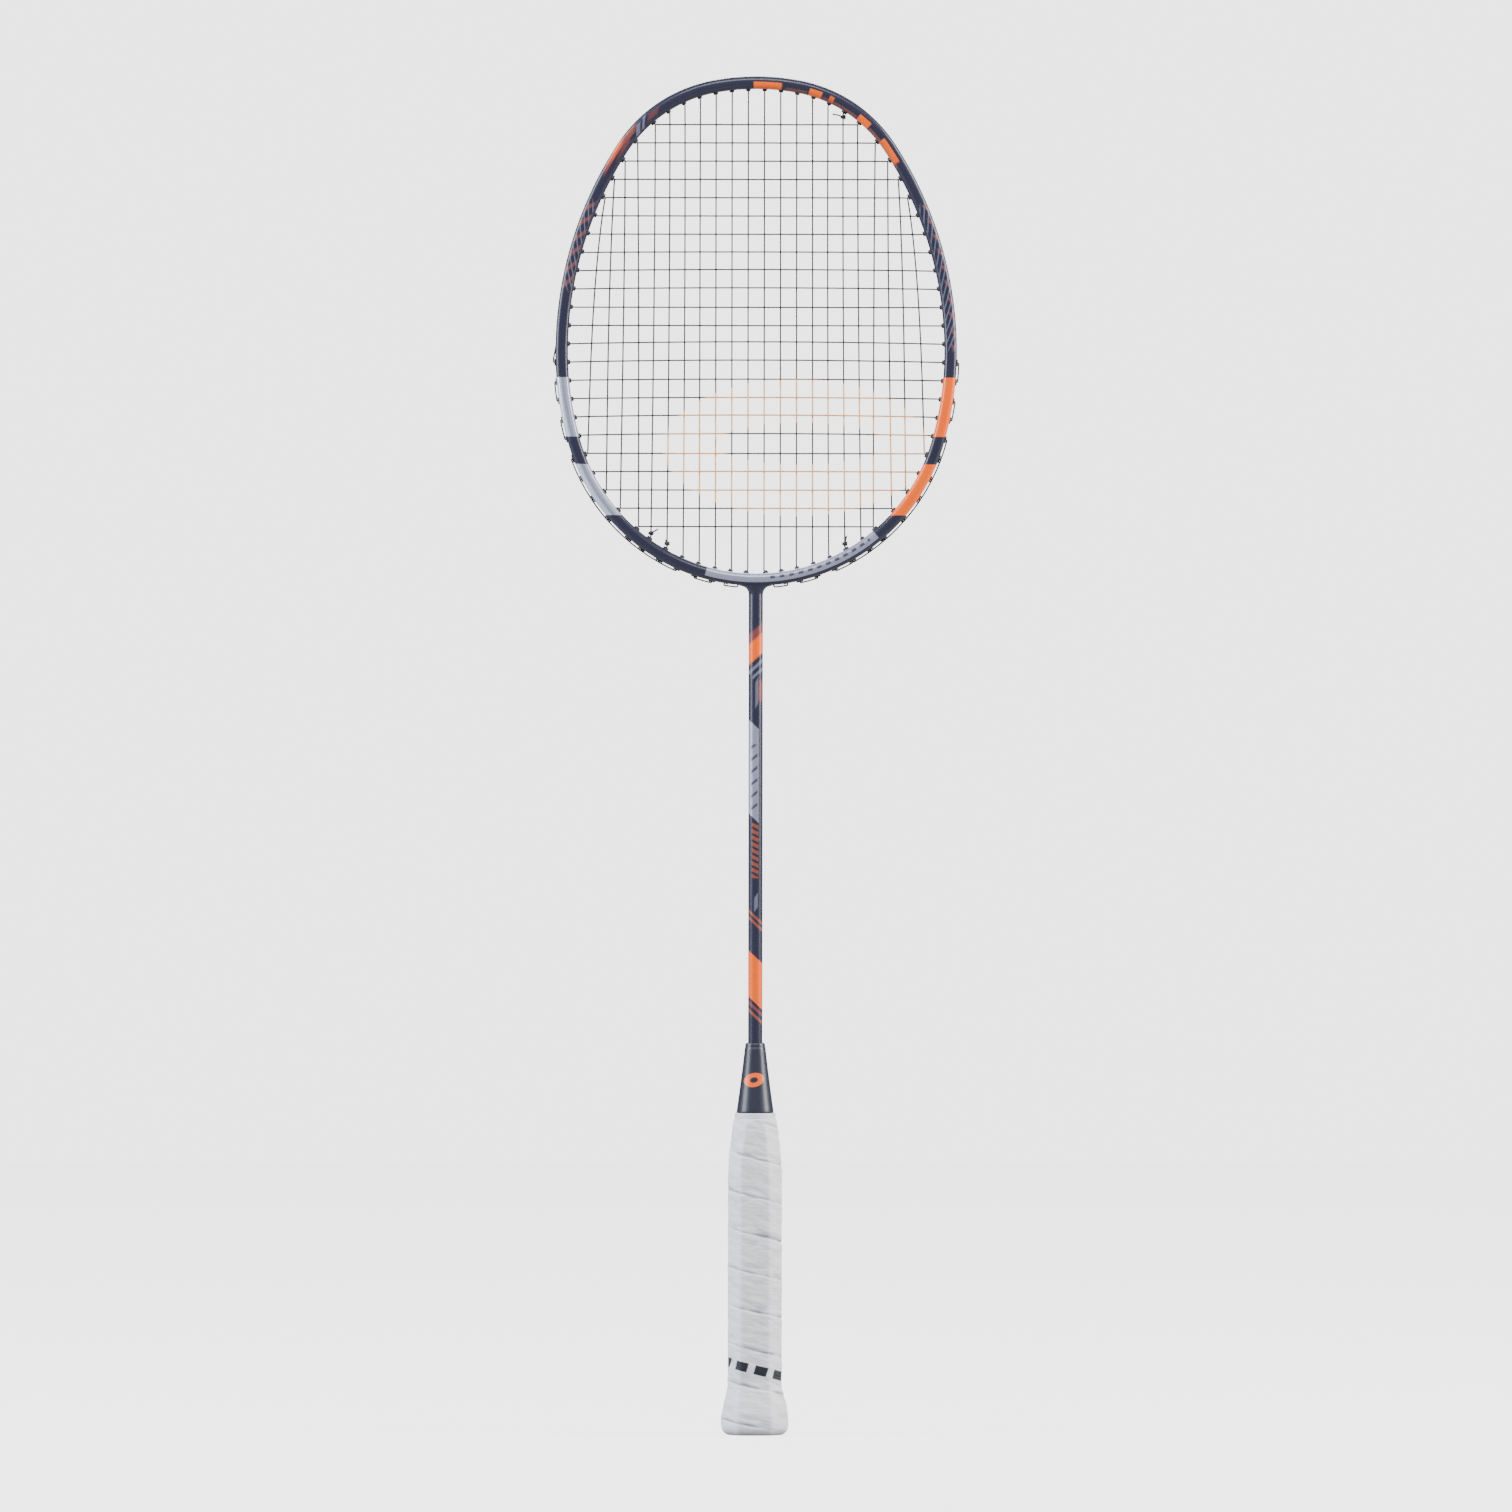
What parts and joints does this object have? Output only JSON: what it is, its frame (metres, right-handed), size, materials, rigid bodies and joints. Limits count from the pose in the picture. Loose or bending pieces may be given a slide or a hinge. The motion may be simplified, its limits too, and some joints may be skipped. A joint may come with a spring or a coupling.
{
  "type": "badminton racket",
  "caption": "Badminton racket with an oval strung head, a slim round shaft, a cone and an octagonal wrapped grip with a flared butt.",
  "frame": {"origin": "centre of the flat end of the butt", "axes": "+Z along the racket from the butt to the tip of the head, +X to the right across the strings seen from the front, +Y normal to the string bed and away from the viewer, so the front faces -Y"},
  "size_m": [0.2021, 0.031, 0.675],
  "materials": {
    "frame_paint": "satin",
    "inner_plastic": "matte",
    "cone_plastic": "satin",
    "wood": "matte",
    "badge_plastic": "gloss",
    "grip_skin": "satin",
    "tape": "satin",
    "steel": "satin",
    "string": "satin",
    "grommet_plastic": "matte"
  },
  "bodies": {
    "root": {"head_frame": "frame_paint", "t_joint": "inner_plastic", "shaft": "frame_paint", "cone_cap": "cone_plastic", "handle_core": "wood", "butt_badge": "badge_plastic", "grip_wrap": "grip_skin", "finishing_tape": "tape", "grip_tack": "steel", "main_string": "string", "cross_string": "string", "main_knots": "string", "cross_knots": "string", "crown_grommets": "grommet_plastic", "left_grommets": "grommet_plastic", "right_grommets": "grommet_plastic", "throat_grommets": "grommet_plastic", "shared_grommets": "grommet_plastic", "tie_off_grommets": "grommet_plastic"}
  },
  "joints": []
}
